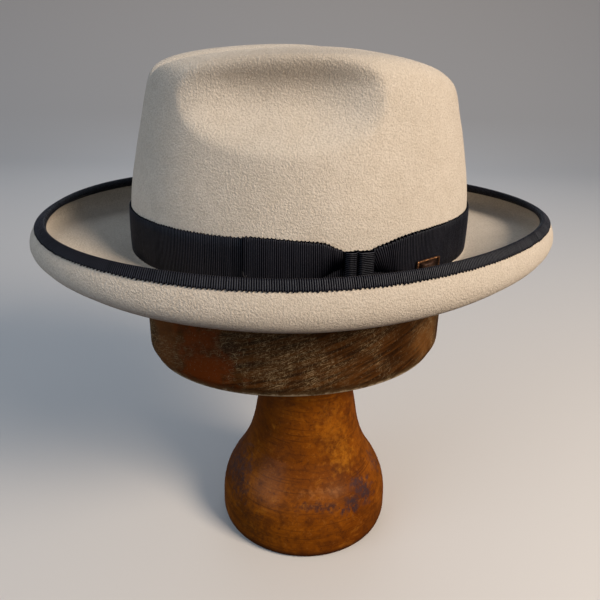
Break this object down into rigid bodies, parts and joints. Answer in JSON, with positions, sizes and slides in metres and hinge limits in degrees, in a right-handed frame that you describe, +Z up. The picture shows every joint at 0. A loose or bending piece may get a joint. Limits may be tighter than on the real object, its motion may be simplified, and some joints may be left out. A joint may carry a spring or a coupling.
{
  "type": "homburg hat on wooden block stand",
  "caption": "Pale felt homburg with creased, side-dented crown, bound rolled brim and grosgrain band with side bow, on an oval wooden block and turned foot.",
  "frame": {"origin": "middle of the round underside of the stand's foot, on the surface it stands on", "axes": "+Z up, -Y to the front of the hat, +X to the wearer's left, where the bow is"},
  "size_m": [0.2516, 0.323, 0.3231],
  "materials": {
    "felt": "matt fur felt, fine even nap",
    "grosgrain": "ribbed grosgrain, soft sheen",
    "badge_metal": "aged copper-coloured plate",
    "dark_wood": "dark worn wood, scratched, dusty",
    "warm_wood": "varnished warm brown wood, blotched"
  },
  "bodies": {
    "root": {"felt_body": "felt", "brim_binding": "grosgrain", "ribbon_band": "grosgrain", "bow_wing_front": "grosgrain", "bow_wing_back": "grosgrain", "bow_knot": "grosgrain", "band_badge": "badge_metal", "hat_block": "dark_wood", "stand_foot": "warm_wood"}
  },
  "joints": []
}
